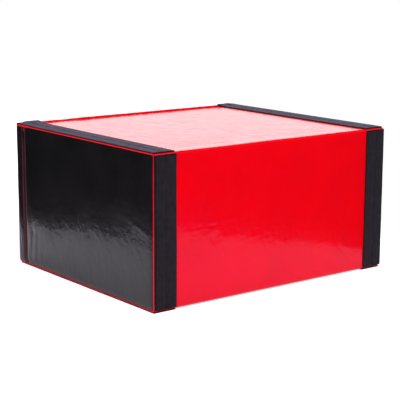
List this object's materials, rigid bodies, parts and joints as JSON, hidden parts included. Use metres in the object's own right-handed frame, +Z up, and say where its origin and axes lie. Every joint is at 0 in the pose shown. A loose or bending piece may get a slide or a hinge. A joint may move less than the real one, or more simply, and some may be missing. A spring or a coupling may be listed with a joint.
{
  "type": "parkour block",
  "caption": "Rectangular foam block for parkour and gymnastics, in a red coated-fabric cover with black ends, loop strips along the end edges and a zip.",
  "frame": {"origin": "centre of the base, on the floor plane that the base strips stand on", "axes": "+X runs along the long red front towards the end without a zip, -Y is the front, +Z is up"},
  "size_m": [1.2083, 1.0082, 0.6101],
  "materials": {
    "red_coated_fabric": "glossy red coated fabric",
    "black_coated_fabric": "glossy black coated fabric",
    "red_piping": "glossy red coated fabric wrapped round a cord",
    "loop_tape": "matt brushed loop pile, charcoal",
    "foam": "grey foam",
    "red_facing": "red coated fabric, folded edge",
    "zip_tape": "woven polyester, black",
    "zip_teeth": "moulded black plastic",
    "zip_stop_plastic": "moulded black plastic, satin",
    "zip_metal": "die-cast, gunmetal",
    "pull_metal": "black enamelled metal"
  },
  "bodies": {
    "block": {"body_wrap": "red_coated_fabric", "left_end_panel": "black_coated_fabric", "left_end_border": "black_coated_fabric", "right_end_panel": "black_coated_fabric", "left_end_piping": "red_piping", "right_end_piping": "red_piping", "foam_slab_lower": "foam", "foam_slab_upper": "foam", "left_top_tape_outer": "loop_tape", "left_top_tape_inner": "loop_tape", "left_front_tape_outer": "loop_tape", "left_front_tape_inner": "loop_tape", "left_base_tape_outer": "loop_tape", "left_base_tape_inner": "loop_tape", "left_rear_tape_outer": "loop_tape", "left_rear_tape_inner": "loop_tape", "right_top_tape_outer": "loop_tape", "right_top_tape_inner": "loop_tape", "right_front_tape_outer": "loop_tape", "right_front_tape_inner": "loop_tape", "right_base_tape_outer": "loop_tape", "right_base_tape_inner": "loop_tape", "right_rear_tape_outer": "loop_tape", "right_rear_tape_inner": "loop_tape", "zip_facing_front": "red_facing", "zip_facing_rear": "red_facing", "zip_tape_front": "zip_tape", "zip_tape_rear": "zip_tape", "zip_teeth_front": "zip_teeth", "zip_teeth_rear": "zip_teeth", "zip_bottom_stop": "zip_stop_plastic", "zip_top_stop_front": "zip_metal", "zip_top_stop_rear": "zip_metal"},
    "slider": {"zip_slider": "zip_metal", "zip_slider_back": "zip_metal"},
    "pull": {"zip_pull": "pull_metal"}
  },
  "joints": [
    {"name": "zip_slide", "type": "slide", "parent": "block", "child": "slider", "axis": [0, 0, -1], "range_m": [0, 0.5343]},
    {"name": "pull_hinge", "type": "hinge", "parent": "slider", "child": "pull", "pos_m": [-0.603, 0.4465, 0.587], "axis": [0, 1, 0], "range_deg": [0, 180]}
  ]
}
